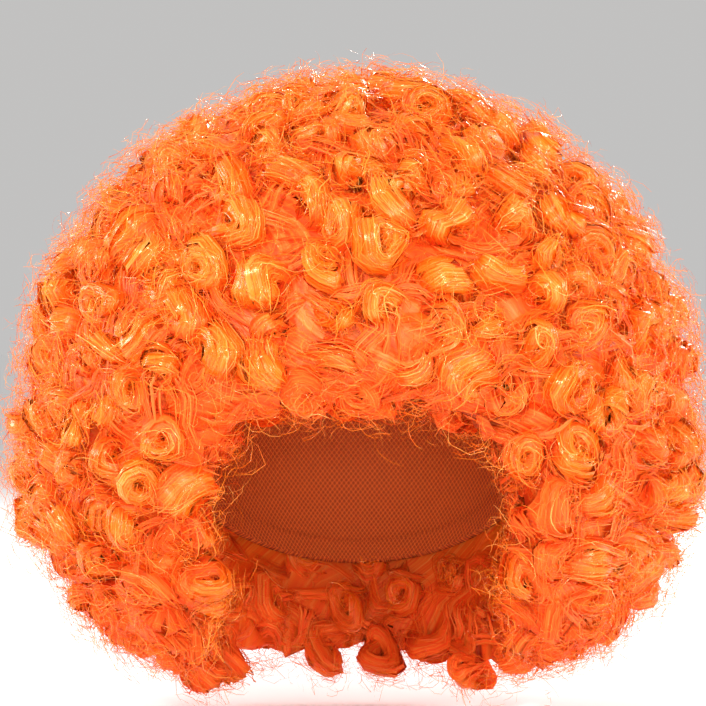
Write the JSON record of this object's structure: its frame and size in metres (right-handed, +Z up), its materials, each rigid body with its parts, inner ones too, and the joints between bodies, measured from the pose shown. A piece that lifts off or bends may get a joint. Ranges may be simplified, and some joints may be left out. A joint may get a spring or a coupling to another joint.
{
  "type": "curly wig",
  "caption": "Round full wig of tight ringlets on a close-fitting net cap, open at the face and neck, worn on a head.",
  "frame": {"origin": "the point inside the cap where the crown of the wearer's head touches it", "axes": "+Z up along the head, -Y the way the wearer looks, +X to the wearer's left"},
  "size_m": [0.3015, 0.3015, 0.2743],
  "materials": {
    "net": "knitted stretch net with an elastic hem",
    "hair": "glossy curled synthetic fibre"
  },
  "bodies": {
    "root": {"cap": "net", "crown_weft": "hair", "fringe_weft": "hair", "temple_weft_left": "hair", "temple_weft_right": "hair", "side_weft_left": "hair", "side_weft_right": "hair", "back_weft": "hair", "nape_weft": "hair"}
  },
  "joints": []
}
